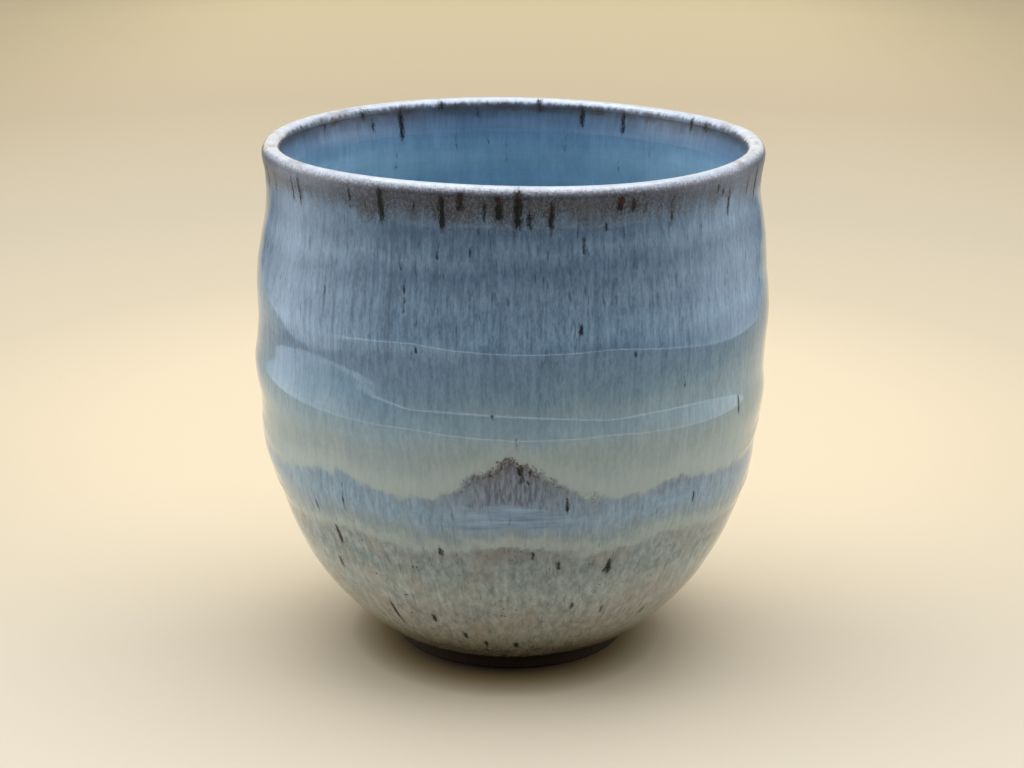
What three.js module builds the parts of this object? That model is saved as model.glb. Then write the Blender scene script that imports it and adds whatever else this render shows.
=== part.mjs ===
// A wheel-thrown stoneware tumbler without a handle. The clay body has a rolled lip, a wall that
// keeps the spiral ridge of the throwing fingers, and a low foot ring turned into its base.
// A liner glaze coats the inside, and three glaze dips coat the outside one below the other,
// meeting along scalloped lines where each dip ran. The foot ring stays bare.
// Millimetres, +Z up, origin at the middle of the plane that the foot ring stands on.

import * as THREE from 'three';

// Lip, as glazed
const HEIGHT = 89.3;
const RIM_RADIUS = 42.75;
const LIP_THICKNESS = 3.2;
const LIP_ROUND = 1.8;

// Wall, as glazed, and its thickness from face to face
const NECK_DROP = 7.3;
const NECK_INSET = 0.6;
const NECK_WALL = 3.4;
const BELLY_HEIGHT = 57.8;
const BELLY_SWELL = 1.5;
const BELLY_WALL = 4.2;
const FLOOR_THICKNESS = 6.2;

// Foot ring, and the step from it out to the root of the wall
const FOOT_HEIGHT = 2.1;
const FOOT_RADIUS = 20.2;
const FOOT_STEP = 0.7;
const FOOT_RING_WIDTH = 4.2;
const FOOT_CHAMFER = 0.5;
const FOOT_RECESS = 1.8;
const FOOT_RECESS_DRAFT = 0.6;

// How far each end of a curve keeps its direction, as a share of the drop that the curve bends over
const LIP_REACH = 0.22;
const NECK_REACH_UP = 0.55;
const NECK_REACH_DOWN = 0.35;
const BELLY_REACH_UP = 0.76;
const BELLY_REACH_DOWN = 0.55;
const INSIDE_REACH_DOWN = 0.76;
const ROOT_REACH = 0.355;
const ROOT_SLOPE_DEGREES = 33;
const FLOOR_REACH = 30;

// Glaze coats
const GLAZE_THICKNESS = 0.5;
const BOND_GAP = 0.1;
const RUN_GAP = 0.2;
const HEM_RISE = 1.1;

// Run lines: lobes hang down between cusps, and the upper line has a taller cusp at the front
const UPPER_RUN_HEIGHT = 38.2;
const UPPER_LOBE_RISE = 2.2;
const MIDDLE_DIP_DEPTH = 9.6;
const LOWER_LOBE_RISE = 1.8;
const LOBES = 9;
const FRONT_CUSP_RISE = 5.5;
const FRONT_CUSP_DEGREES = 12;

// The throwing ridge spirals down the wall from the left, by way of the front, and tilts to the right.
// How far it swells the wall changes at each half turn with the press of the fingers.
const RIDGE_TOP = 80.5;
const RIDGE_PITCH = 14.3;
const RIDGE_TILT = 2.1;
const RIDGE_SWELLS = [0, 0.44, 0.56, 0.68, 1.2, 0.77, 1.09, 0.4, 0];
const RIDGE_SPREAD = 4.2;
const RIDGE_FADE_ABOVE_NECK = 2;
const RIDGE_FADE_LENGTH = 8;

// Facets: columns round the axis and rows along each stretch of the section
const COLUMNS = 36;
const LIP_ROWS = 4;
const UPPER_ROWS = 15;
const MIDDLE_ROWS = 4;
const LOWER_ROWS = 9;
const INSIDE_ROWS = 14;

const FRONT_ANGLE = 1.5 * Math.PI;
const RIDGE_START_ANGLE = Math.PI;

// Heights and radii that follow
const lipSide = HEIGHT - LIP_ROUND;
const lipMiddle = RIM_RADIUS - LIP_THICKNESS / 2;
const neckHeight = HEIGHT - NECK_DROP;
const neckRadius = RIM_RADIUS - NECK_INSET;
const bellyRadius = neckRadius + BELLY_SWELL;
const rootRadius = FOOT_RADIUS + FOOT_STEP;
const floorHeight = FOOT_RECESS + FLOOR_THICKNESS;
const hemHeight = FOOT_HEIGHT + HEM_RISE;

// Crest of the lip, its rounded side, the neck and the belly, on either face of the wall
function lipToBelly(lipRadius, neck, belly) {
  const outward = lipRadius > lipMiddle;
  const lipDrop = lipSide - neckHeight;
  const neckDrop = neckHeight - BELLY_HEIGHT;
  const line = new THREE.Path();
  line.moveTo(lipMiddle, HEIGHT);
  line.absellipse(
    lipMiddle, lipSide, LIP_THICKNESS / 2, LIP_ROUND,
    Math.PI / 2, outward ? 0 : Math.PI, outward,
  );
  line.bezierCurveTo(
    lipRadius, lipSide - LIP_REACH * lipDrop,
    neck, neckHeight + NECK_REACH_UP * lipDrop,
    neck, neckHeight,
  );
  line.bezierCurveTo(
    neck, neckHeight - NECK_REACH_DOWN * neckDrop,
    belly, BELLY_HEIGHT + BELLY_REACH_UP * neckDrop,
    belly, BELLY_HEIGHT,
  );
  return line;
}

// Outside line of the glazed section, from the crest of the lip down to the root of the wall
function outsideLine() {
  const drop = BELLY_HEIGHT - FOOT_HEIGHT;
  const slope = THREE.MathUtils.degToRad(ROOT_SLOPE_DEGREES);
  const line = lipToBelly(RIM_RADIUS, neckRadius, bellyRadius);
  line.bezierCurveTo(
    bellyRadius, BELLY_HEIGHT - BELLY_REACH_DOWN * drop,
    rootRadius + ROOT_REACH * drop * Math.cos(slope), FOOT_HEIGHT + ROOT_REACH * drop * Math.sin(slope),
    rootRadius, FOOT_HEIGHT,
  );
  return line;
}

// Inside line of the glazed section, from the crest of the lip down to the middle of the floor
function insideLine() {
  const drop = BELLY_HEIGHT - floorHeight;
  const bellyInside = bellyRadius - BELLY_WALL;
  const line = lipToBelly(RIM_RADIUS - LIP_THICKNESS, neckRadius - NECK_WALL, bellyInside);
  line.bezierCurveTo(
    bellyInside, BELLY_HEIGHT - INSIDE_REACH_DOWN * drop,
    FLOOR_REACH, floorHeight,
    0, floorHeight,
  );
  return line;
}

// How far the throwing ridge swells the wall at an angle and a height
const ridgeHalfTurns = RIDGE_SWELLS.length - 1;
const ridgeSwells = new THREE.SplineCurve(
  RIDGE_SWELLS.map((swell, halfTurn) => new THREE.Vector2(halfTurn, swell)),
);

function ridgeSwell(angle, height) {
  const firstPass = THREE.MathUtils.euclideanModulo(angle - RIDGE_START_ANGLE, 2 * Math.PI) / Math.PI;
  let total = 0;
  for (let pass = firstPass; pass <= ridgeHalfTurns; pass += 2) {
    const tilt = RIDGE_TILT * (1 - Math.cos(Math.PI * pass)) / 2;
    const crest = RIDGE_TOP - RIDGE_PITCH * pass / 2 + tilt;
    const swell = ridgeSwells.getPoint(pass / ridgeHalfTurns).y;
    total += swell * Math.exp(-0.5 * ((height - crest) / RIDGE_SPREAD) ** 2);
  }
  const belowFade = neckHeight + RIDGE_FADE_ABOVE_NECK - height;
  return total * THREE.MathUtils.smoothstep(belowFade, 0, RIDGE_FADE_LENGTH);
}

// Heights of the two scalloped run lines at an angle
function angleFromFront(angle) {
  return THREE.MathUtils.euclideanModulo(angle - FRONT_ANGLE + Math.PI, 2 * Math.PI) - Math.PI;
}

function lobeShare(angle) {
  return 1 - Math.abs(Math.sin(LOBES * angleFromFront(angle) / 2));
}

function upperRunHeight(angle) {
  const reach = angleFromFront(angle) / THREE.MathUtils.degToRad(FRONT_CUSP_DEGREES);
  return UPPER_RUN_HEIGHT + UPPER_LOBE_RISE * lobeShare(angle) + FRONT_CUSP_RISE * Math.exp(-reach * reach);
}

function lowerRunHeight(angle) {
  return UPPER_RUN_HEIGHT - MIDDLE_DIP_DEPTH + LOWER_LOBE_RISE * lobeShare(angle);
}

// Each face of the wall: its line, and the side of that line that faces out of the clay
const outside = { line: outsideLine(), facing: 1 };
const inside = { line: insideLine(), facing: -1 };

// Share of a line's length at which it passes a height on its way down, found by halving
const HALVINGS = 40;

function shareAtHeight(line, height) {
  let above = 0;
  let below = 1;
  for (let step = 0; step < HALVINGS; step += 1) {
    const middle = (above + below) / 2;
    if (line.getPointAt(middle).y > height) {
      above = middle;
    } else {
      below = middle;
    }
  }
  return above;
}

function evenly(start, end, steps) {
  return Array.from({ length: steps + 1 }, (_, step) => start + (end - start) * step / steps);
}

// Section points at an angle, sunk below the glazed face by a depth and swollen by the ridge
function sectionPoints(wall, shares, angle, depth) {
  return shares.map((share) => {
    const face = wall.line.getPointAt(share);
    const along = wall.line.getTangentAt(share);
    const radius = face.x + depth * wall.facing * along.y + ridgeSwell(angle, face.y);
    const height = face.y - depth * wall.facing * along.x;
    return new THREE.Vector2(radius, height);
  });
}

// Shares of the outside line between two heights
function outsideShares(fromHeight, toHeight, rows) {
  return evenly(shareAtHeight(outside.line, fromHeight), shareAtHeight(outside.line, toHeight), rows);
}

const lipEndShare = shareAtHeight(outside.line, lipSide);
const lipEndShareInside = shareAtHeight(inside.line, lipSide);

function upperShares(angle) {
  const lip = evenly(0, lipEndShare, LIP_ROWS);
  return [...lip, ...outsideShares(lipSide, upperRunHeight(angle), UPPER_ROWS).slice(1)];
}

function middleShares(angle) {
  return outsideShares(upperRunHeight(angle), lowerRunHeight(angle), MIDDLE_ROWS);
}

function lowerShares(angle) {
  return outsideShares(lowerRunHeight(angle), hemHeight, LOWER_ROWS);
}

const insideShares = [
  ...evenly(0, lipEndShareInside, LIP_ROWS),
  ...evenly(lipEndShareInside, 1, INSIDE_ROWS).slice(1),
];

// The same shares with the first one moved on, to leave a gap to the coat before it
function startLate(wall, shares, gap) {
  return [shares[0] + gap / wall.line.getLength(), ...shares.slice(1)];
}

// Two triangles over four corners in order, split along the shorter diagonal so that neighbouring
// faces split alike. A side that shrinks to the axis leaves one triangle.
function quadTriangles(positions, first, second, third, fourth) {
  const corner = (index) => new THREE.Vector3().fromArray(positions, 3 * index);
  const splitAtFirst = corner(first).distanceTo(corner(third)) < corner(second).distanceTo(corner(fourth));
  const pair = splitAtFirst
    ? [[first, second, third], [first, third, fourth]]
    : [[second, third, fourth], [second, fourth, first]];
  return pair.filter((triangle) => new Set(triangle).size === 3).flat();
}

// Solid swept round the axis by a section that may change with the angle.
// A section runs with the solid on its right; it closes on itself, or starts and ends on the axis.
function sweptSolid(sectionAt, onAxis) {
  const positions = [];
  const columns = [];
  for (let column = 0; column < COLUMNS; column += 1) {
    const angle = FRONT_ANGLE + column * 2 * Math.PI / COLUMNS;
    const section = sectionAt(angle);
    const corners = section.map((point, row) => {
      const pole = onAxis && (row === 0 || row === section.length - 1);
      if (pole && column > 0) {
        return columns[0][row];
      }
      const radius = pole ? 0 : point.x;
      positions.push(radius * Math.cos(angle), radius * Math.sin(angle), point.y);
      return positions.length / 3 - 1;
    });
    columns.push(corners);
  }
  const rows = columns[0].length;
  const bands = onAxis ? rows - 1 : rows;
  const triangles = [];
  columns.forEach((here, column) => {
    const next = columns[(column + 1) % COLUMNS];
    for (let band = 0; band < bands; band += 1) {
      const end = (band + 1) % rows;
      triangles.push(...quadTriangles(positions, here[band], here[end], next[end], next[band]));
    }
  });
  const geometry = new THREE.BufferGeometry();
  geometry.setAttribute('position', new THREE.Float32BufferAttribute(positions, 3));
  geometry.setIndex(triangles);
  geometry.computeVertexNormals();
  return geometry;
}

// Clay body: inside face, lip, outside face, foot ring and the recess under the floor
function bodySection(angle) {
  const depth = GLAZE_THICKNESS + BOND_GAP;
  const up = sectionPoints(inside, insideShares, angle, depth).reverse().slice(0, -1);
  const shares = [
    ...upperShares(angle),
    ...middleShares(angle).slice(1),
    ...lowerShares(angle).slice(1),
    1,
  ];
  const down = sectionPoints(outside, shares, angle, depth);
  const footInside = FOOT_RADIUS - FOOT_RING_WIDTH;
  const foot = [
    new THREE.Vector2(FOOT_RADIUS, FOOT_CHAMFER),
    new THREE.Vector2(FOOT_RADIUS - FOOT_CHAMFER, 0),
    new THREE.Vector2(footInside + FOOT_CHAMFER, 0),
    new THREE.Vector2(footInside, FOOT_CHAMFER),
    new THREE.Vector2(footInside - FOOT_RECESS_DRAFT, FOOT_RECESS),
    new THREE.Vector2(0, FOOT_RECESS),
  ];
  return [...up, ...down, ...foot];
}

// Glaze inside, from the middle of the floor to the crest of the lip
function linerSection(angle) {
  const shares = startLate(inside, insideShares, RUN_GAP / 2);
  const face = sectionPoints(inside, shares, angle, 0).reverse();
  const back = sectionPoints(inside, shares, angle, GLAZE_THICKNESS);
  return [...face, ...back];
}

// Glaze outside, between two run lines: its face going down and its back going up
function dipSection(angle, coatShares, gap) {
  const shares = startLate(outside, coatShares, gap);
  const face = sectionPoints(outside, shares, angle, 0);
  const back = sectionPoints(outside, shares, angle, GLAZE_THICKNESS).reverse();
  return [...face, ...back];
}

function upperDipSection(angle) {
  return dipSection(angle, upperShares(angle), RUN_GAP / 2);
}

function middleDipSection(angle) {
  return dipSection(angle, middleShares(angle), RUN_GAP);
}

function lowerDipSection(angle) {
  return dipSection(angle, lowerShares(angle), RUN_GAP);
}

// Finishes
const bareStoneware = new THREE.MeshStandardMaterial({ color: 0x8a6f55, roughness: 0.85, metalness: 0 });
const linerBlue = new THREE.MeshStandardMaterial({ color: 0x6f8ea6, roughness: 0.2, metalness: 0 });
const upperBlue = new THREE.MeshStandardMaterial({ color: 0x8096ab, roughness: 0.2, metalness: 0 });
const middleBlueGrey = new THREE.MeshStandardMaterial({ color: 0x8a94a0, roughness: 0.22, metalness: 0 });
const lowerGreyBeige = new THREE.MeshStandardMaterial({ color: 0x9a968a, roughness: 0.3, metalness: 0 });

function namedMesh(name, geometry, material) {
  const mesh = new THREE.Mesh(geometry, material);
  mesh.name = name;
  return mesh;
}

const tumbler = new THREE.Group();
tumbler.name = 'tumbler';
tumbler.add(
  namedMesh('stoneware_body', sweptSolid(bodySection, true), bareStoneware),
  namedMesh('liner_glaze', sweptSolid(linerSection, true), linerBlue),
  namedMesh('upper_glaze_dip', sweptSolid(upperDipSection, false), upperBlue),
  namedMesh('middle_glaze_dip', sweptSolid(middleDipSection, false), middleBlueGrey),
  namedMesh('lower_glaze_dip', sweptSolid(lowerDipSection, false), lowerGreyBeige),
);

export default tumbler;
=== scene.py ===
"""Looks of a wheel-thrown stoneware tumbler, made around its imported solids.

One continuous surface runs from the middle of the floor over the lip and down to the hem of the glaze.
Each glaze coat is a closed shell cut from that surface, and the clay inside them shows at the foot.
Sizes are in millimetres, as in the solids, and MM turns them into metres.
"""

import math

import bpy
import numpy as np
from mathutils import Matrix

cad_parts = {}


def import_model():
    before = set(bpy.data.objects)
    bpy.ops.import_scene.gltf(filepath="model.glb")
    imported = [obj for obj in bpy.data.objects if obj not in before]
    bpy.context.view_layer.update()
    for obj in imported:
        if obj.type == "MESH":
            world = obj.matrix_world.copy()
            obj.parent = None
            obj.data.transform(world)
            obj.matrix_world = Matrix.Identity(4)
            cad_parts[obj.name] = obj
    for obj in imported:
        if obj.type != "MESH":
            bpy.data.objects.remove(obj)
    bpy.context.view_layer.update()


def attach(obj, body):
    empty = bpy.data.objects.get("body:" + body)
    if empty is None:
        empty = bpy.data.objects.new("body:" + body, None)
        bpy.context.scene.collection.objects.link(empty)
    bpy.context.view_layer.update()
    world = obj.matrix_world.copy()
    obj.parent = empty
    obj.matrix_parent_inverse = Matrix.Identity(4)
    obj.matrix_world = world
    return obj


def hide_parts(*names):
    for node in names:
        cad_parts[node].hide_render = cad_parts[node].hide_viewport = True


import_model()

MM = 0.001

# Lip and wall, as glazed
HEIGHT = 89.3
RIM_RADIUS = 42.75
LIP_THICKNESS = 3.2
LIP_ROUND = 1.8
NECK_DROP = 7.3
NECK_INSET = 0.6
NECK_WALL = 3.4
BELLY_HEIGHT = 57.8
BELLY_SWELL = 1.5
BELLY_WALL = 4.2
FLOOR_THICKNESS = 6.2

# Foot ring, and the step from it out to the root of the wall
FOOT_HEIGHT = 2.1
FOOT_RADIUS = 20.2
FOOT_STEP = 0.7
FOOT_RING_WIDTH = 4.2
FOOT_EDGE_ROUND = 0.5
FOOT_RECESS = 1.8
FOOT_RECESS_DRAFT = 0.6
FOOT_SIDE_SHARES = (0.85, 0.6, 0.4)
FOOT_FLAT_STEPS = 7
ARC_STEPS = 8
RECESS_POINTS = 26
RECESS_WALL_SHARES = (0.4, 0.5)
TURNING_PITCH = 1.3
TURNING_HEIGHT = 0.03

# How far each end of a curve keeps its direction, as a share of the drop that the curve bends over
LIP_REACH = 0.22
NECK_REACH_UP = 0.55
NECK_REACH_DOWN = 0.35
BELLY_REACH_UP = 0.76
BELLY_REACH_DOWN = 0.55
INSIDE_REACH_DOWN = 0.76
ROOT_REACH = 0.355
ROOT_SLOPE_DEGREES = 33
FLOOR_REACH = 30

# Glaze coats
GLAZE_THICKNESS = 0.5
BOND_GAP = 0.1
HEM_RISE = 1.1

# Run lines: lobes hang down between cusps, and the upper line has a taller cusp at the front
UPPER_RUN_HEIGHT = 38.2
UPPER_LOBE_RISE = 2.2
MIDDLE_DIP_DEPTH = 9.6
LOWER_LOBE_RISE = 1.8
LOBES = 9
FRONT_CUSP_RISE = 5.5
FRONT_CUSP_DEGREES = 12
OTHER_CUSP_IRON = 0.35
OTHER_CUSP_TURNS = 2.3
OTHER_CUSP_START = 0.6

# The throwing ridge spirals down the wall from the left, by way of the front, and tilts to the right
RIDGE_TOP = 80.5
RIDGE_PITCH = 14.3
RIDGE_TILT = 2.1
RIDGE_SWELLS = [0, 0.44, 0.56, 0.68, 1.2, 0.77, 1.09, 0.4, 0]
RIDGE_SPREAD = 4.2
RIDGE_FADE_ABOVE_NECK = 2
RIDGE_FADE_LENGTH = 8

# Small relief of the fired glaze over the thrown clay
GROOVE_DEPTHS = [0, 0, 0, 0, 0.2, 0.3, 0, 0, 0]
GROOVE_ABOVE_CREST = 3.0
GROOVE_SPREAD = 2.0
LINE_PITCHES = [6.4, 4.3, 9.3]
LINE_HEIGHT = 0.01
LINE_UNEVENNESS = 0.6
LINE_SEED = 20
LINE_WAVES = {"count": 6, "most_turns": 3, "longest": 60, "shortest": 20}
WOBBLE_HEIGHT = 0.03
WOBBLE_WAVES = {"seed": 3, "count": 24, "most_turns": 7, "longest": 60, "shortest": 22}
RUN_BEAD_HEIGHT = 0.14
RUN_BEAD_SPREAD = 1.1
LIP_WAVE_HEIGHT = 0.12
LIP_WAVE_REACH = 6
LIP_WAVES = {"seed": 8, "count": 5, "most_turns": 5, "longest": 60, "shortest": 40}

# Lengths from the crest of the lip, and radii about the middle of the floor, over which the relief sets in
RELIEF_FROM_LIP = (1, 6)
RELIEF_FROM_AXIS = (1, 12)

# Mesh fineness
COLUMNS = 720
LIP_ROWS = 14
UPPER_ROWS = 100
MIDDLE_ROWS = 26
LOWER_ROWS = 60
INSIDE_ROWS = 84
CURVE_STEPS = 400
BACK_ROW_STEP = 6

TURN = 2 * math.pi
FRONT_ANGLE = 0.75 * TURN
BACK_ANGLE = 0.25 * TURN
RIDGE_START_ANGLE = math.pi

# Iron marks: degrees from the front towards the right, top height, length, half width, strength
OUTSIDE_MARKS = [
    (-57, 88, 6, 0.3, 0.7), (-54, 88, 5.5, 0.34, 0.8), (-37, 88, 4, 0.34, 0.7),
    (-29, 87.7, 5, 0.55, 1), (-15, 87.5, 5, 0.55, 1), (-11, 88, 2.3, 0.59, 0.9),
    (-6, 87, 3, 0.34, 0.8), (-3, 87.6, 3.4, 0.68, 0.85), (1, 88.6, 5.6, 0.64, 1),
    (3.5, 85.2, 2.2, 0.51, 0.75), (8, 87, 4.7, 0.42, 1), (20, 83.3, 1.2, 0.29, 0.9),
    (23, 87.3, 1.7, 0.59, 0.95), (26, 86.8, 1.6, 0.42, 0.9), (36, 87, 5.4, 0.3, 0.7),
    (45, 81, 1, 0.25, 0.6), (55, 85.5, 4, 0.34, 0.9), (15, 81.6, 3, 0.29, 0.6),
    (24, 82.7, 2.4, 0.25, 0.6), (-50, 78.6, 3, 0.22, 0.6), (-43.5, 72, 5.4, 0.25, 0.65),
    (-23, 74, 5.3, 0.32, 0.55), (-24, 76.6, 1, 0.29, 0.6), (-16, 78.7, 1, 0.25, 0.7),
    (-9, 79.6, 1.2, 0.43, 0.65), (-4, 53.4, 0.5, 0.24, 1), (1, 49.4, 1.4, 0.6, 0.4),
    (14, 67.8, 1.5, 0.32, 1), (58.5, 50.6, 3, 0.29, 0.95), (12, 38.9, 2, 0.28, 0.95),
    (44.5, 36.3, 1.6, 0.28, 0.95), (26, 62.8, 1, 0.29, 0.75), (-20, 63.8, 0.9, 0.29, 0.75),
    (39, 58.6, 4, 0.29, 0.5), (-39.5, 39, 6, 0.25, 0.6), (-49.5, 33.4, 1.6, 0.29, 0.8),
    (-44.5, 29.6, 3.2, 0.43, 1), (23.5, 26.8, 2.5, 0.46, 1), (5, 29.2, 0.9, 0.38, 0.95),
    (11, 27, 1, 0.51, 0.85), (-16, 29.3, 1, 0.43, 0.85), (-35, 16.2, 5.2, 0.39, 1),
    (-8, 8.7, 0.8, 0.54, 1), (2, 8.6, 0.8, 0.58, 1), (-22, 14.5, 1, 0.54, 0.95),
    (42, 13.5, 1, 0.43, 0.95), (25, 16.7, 1, 0.39, 0.75), (16, 18.4, 0.9, 0.39, 0.75),
    (-14, 10.8, 0.8, 0.54, 0.95), (-48, 23, 2.5, 0.39, 0.85), (1.8, 44.6, 1, 0.42, 0.95),
    (2.1, 42.9, 0.9, 0.34, 0.9), (-2, 45, 0.4, 0.28, 0.8), (3.4, 42.3, 0.5, 0.25, 0.8),
    (29, 86.4, 2, 0.25, 0.6), (33, 86, 1.2, 0.25, 0.6), (50, 87, 1.6, 0.3, 0.7),
    (52, 86.4, 1.2, 0.25, 0.7), (64, 86.8, 4, 0.3, 0.7), (-21, 86.2, 2, 0.25, 0.6),
    (-33, 85.6, 1.6, 0.25, 0.6), (3.9, 44.2, 0.7, 0.3, 0.7), (-4.4, 43.5, 0.4, 0.25, 0.8),
]
INSIDE_MARKS = [
    (-148, 88, 5.5, 0.51, 1), (-139, 86.6, 1.6, 0.42, 0.7), (-136, 88.4, 1.2, 0.77, 0.7),
    (-121, 87.6, 1.2, 0.51, 0.6), (-170, 87.6, 1.3, 0.42, 0.6), (-173, 82.4, 1.1, 0.36, 0.45),
    (161, 88, 3, 0.51, 0.9), (149, 88, 4, 0.51, 0.85), (126, 88.5, 1.8, 0.59, 0.8),
    (120, 88.3, 1.2, 0.59, 0.7), (150, 80, 4, 0.36, 0.4), (-160, 88.6, 0.9, 0.77, 0.6),
    (173, 88.6, 0.9, 0.77, 0.6), (-164, 84, 6, 0.6, 0.32), (-178, 83, 7, 0.5, 0.32),
    (166, 84, 6, 0.6, 0.34), (140, 84.5, 5, 0.5, 0.32), (-146, 82, 6, 0.6, 0.34),
]
MARK_SIDE_FADE = 0.7

# Marks at the back: their number, the share under the lip and the ranges to draw from (tops, then lengths)
BACK_MARK_SEED = 11
BACK_MARK_COUNT = 60
BACK_LIP_SHARE = 0.45
BACK_LIP = ((86.5, 88.5), (1.5, 6))
BACK_WALL = ((6, 82), (0.6, 4))
BACK_DEGREES = (66, 294)
BACK_HALF_WIDTHS = (0.3, 0.55)
BACK_STRENGTHS = (0.6, 1)

# Strong marks that start between these heights rust at the top, and those under the lip stain the glaze
RUST_TOPS = [(42, 45), (86.5, 90)]
RUST_LEAST_STRENGTH = 0.84
RUST_LENGTH = 3.0
STAIN_HALF_WIDTH = 3.2
STAIN_EXTRA_LENGTH = 2
STAIN_LOWEST_TOP = 84

# Camera, measured on the photograph, and the size of its picture
CAMERA_BACK = 383.7
CAMERA_HEIGHT = 159.9
CAMERA_DOWN_DEGREES = 16.61
CAMERA_ROLL_DEGREES = 0.38
FOCAL_PIXELS = 2278
PICTURE_WIDTH_PIXELS = 1024
SENSOR_WIDTH = 36.0

# Heights and radii that follow
LIP_SIDE = HEIGHT - LIP_ROUND
LIP_MIDDLE = RIM_RADIUS - LIP_THICKNESS / 2
NECK_HEIGHT = HEIGHT - NECK_DROP
NECK_RADIUS = RIM_RADIUS - NECK_INSET
BELLY_RADIUS = NECK_RADIUS + BELLY_SWELL
ROOT_RADIUS = FOOT_RADIUS + FOOT_STEP
FLOOR_HEIGHT = FOOT_RECESS + FLOOR_THICKNESS
HEM_HEIGHT = FOOT_HEIGHT + HEM_RISE


# Section lines

def bezier(start, start_hold, end_hold, end):
    share = np.linspace(0, 1, CURVE_STEPS)[:, None]
    left = 1 - share
    weights = [left ** 3, 3 * left ** 2 * share, 3 * left * share ** 2, share ** 3]
    points = (start, start_hold, end_hold, end)
    return sum(weight * np.array(point) for weight, point in zip(weights, points))


def lip_to_belly(lip_radius, neck, belly):
    """Crest of the lip, its rounded side, the neck and the belly, on either face of the wall."""
    turn = np.linspace(0, math.pi / 2, CURVE_STEPS)
    across = LIP_MIDDLE + (lip_radius - LIP_MIDDLE) * np.sin(turn)
    lip = np.stack([across, LIP_SIDE + LIP_ROUND * np.cos(turn)], axis=1)
    lip_drop = LIP_SIDE - NECK_HEIGHT
    neck_drop = NECK_HEIGHT - BELLY_HEIGHT
    to_neck = bezier(
        (lip_radius, LIP_SIDE),
        (lip_radius, LIP_SIDE - LIP_REACH * lip_drop),
        (neck, NECK_HEIGHT + NECK_REACH_UP * lip_drop),
        (neck, NECK_HEIGHT),
    )
    to_belly = bezier(
        (neck, NECK_HEIGHT),
        (neck, NECK_HEIGHT - NECK_REACH_DOWN * neck_drop),
        (belly, BELLY_HEIGHT + BELLY_REACH_UP * neck_drop),
        (belly, BELLY_HEIGHT),
    )
    return np.concatenate([lip, to_neck[1:], to_belly[1:]])


def outside_points():
    drop = BELLY_HEIGHT - FOOT_HEIGHT
    slope = math.radians(ROOT_SLOPE_DEGREES)
    root_hold = (
        ROOT_RADIUS + ROOT_REACH * drop * math.cos(slope),
        FOOT_HEIGHT + ROOT_REACH * drop * math.sin(slope),
    )
    to_root = bezier(
        (BELLY_RADIUS, BELLY_HEIGHT),
        (BELLY_RADIUS, BELLY_HEIGHT - BELLY_REACH_DOWN * drop),
        root_hold,
        (ROOT_RADIUS, FOOT_HEIGHT),
    )
    return np.concatenate([lip_to_belly(RIM_RADIUS, NECK_RADIUS, BELLY_RADIUS), to_root[1:]])


def inside_points():
    drop = BELLY_HEIGHT - FLOOR_HEIGHT
    belly_inside = BELLY_RADIUS - BELLY_WALL
    to_floor = bezier(
        (belly_inside, BELLY_HEIGHT),
        (belly_inside, BELLY_HEIGHT - INSIDE_REACH_DOWN * drop),
        (FLOOR_REACH, FLOOR_HEIGHT),
        (0, FLOOR_HEIGHT),
    )
    upper = lip_to_belly(RIM_RADIUS - LIP_THICKNESS, NECK_RADIUS - NECK_WALL, belly_inside)
    return np.concatenate([upper, to_floor[1:]])


class SectionLine:
    """A line of radius and height that is followed by its length from the crest of the lip."""

    def __init__(self, points):
        self.radius, self.height = points.T
        steps = np.hypot(np.diff(self.radius), np.diff(self.height))
        self.length = np.concatenate([[0], np.cumsum(steps)])

    def point_at(self, length):
        radius = np.interp(length, self.length, self.radius)
        height = np.interp(length, self.length, self.height)
        return radius, height

    def length_at(self, height):
        return np.interp(-np.asarray(height), -self.height, self.length)


OUTSIDE = SectionLine(outside_points())
INSIDE = SectionLine(inside_points())
COLUMN_ANGLES = BACK_ANGLE + TURN * np.arange(COLUMNS) / COLUMNS


# Throwing ridge and run lines

def smoothstep(value, start, end):
    share = np.clip((value - start) / (end - start), 0, 1)
    return share * share * (3 - 2 * share)


def eased(values, place):
    """A smooth curve through values that lie one apart, read at a place along them."""
    values = np.array(values, float)
    last = len(values) - 1
    here = np.clip(np.floor(place).astype(int), 0, last - 1)
    share = place - here
    before, start, end, after = (values[np.clip(here + step, 0, last)] for step in (-1, 0, 1, 2))
    leave = (end - before) / 2
    arrive = (after - start) / 2
    cubic = 2 * start - 2 * end + leave + arrive
    square = 3 * end - 3 * start - 2 * leave - arrive
    return ((cubic * share + square) * share + leave) * share + start


def along_ridge(angle, height, depths, above_crest, spread):
    """Soft swell along the passes of the spiral, with a depth for each half turn."""
    half_turns = len(depths) - 1
    first_pass = np.mod(angle - RIDGE_START_ANGLE, TURN) / math.pi
    total = 0
    for turn in range(half_turns // 2 + 1):
        place = first_pass + 2 * turn
        tilt = RIDGE_TILT * (1 - np.cos(math.pi * place)) / 2
        crest = RIDGE_TOP - RIDGE_PITCH * place / 2 + tilt
        depth = np.where(place <= half_turns, eased(depths, np.minimum(place, half_turns)), 0)
        total = total + depth * np.exp(-0.5 * ((height - crest - above_crest) / spread) ** 2)
    return total


def ridge_swell(angle, height):
    fade = smoothstep(NECK_HEIGHT + RIDGE_FADE_ABOVE_NECK - height, 0, RIDGE_FADE_LENGTH)
    return fade * along_ridge(angle, height, RIDGE_SWELLS, 0, RIDGE_SPREAD)


def wrapped(angle):
    return np.mod(angle + math.pi, TURN) - math.pi


def angle_from_front(angle):
    return wrapped(angle - FRONT_ANGLE)


def lobe_share(angle):
    return 1 - np.abs(np.sin(LOBES * angle_from_front(angle) / 2))


def front_cusp(angle):
    return np.exp(-(angle_from_front(angle) / math.radians(FRONT_CUSP_DEGREES)) ** 2)


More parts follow.
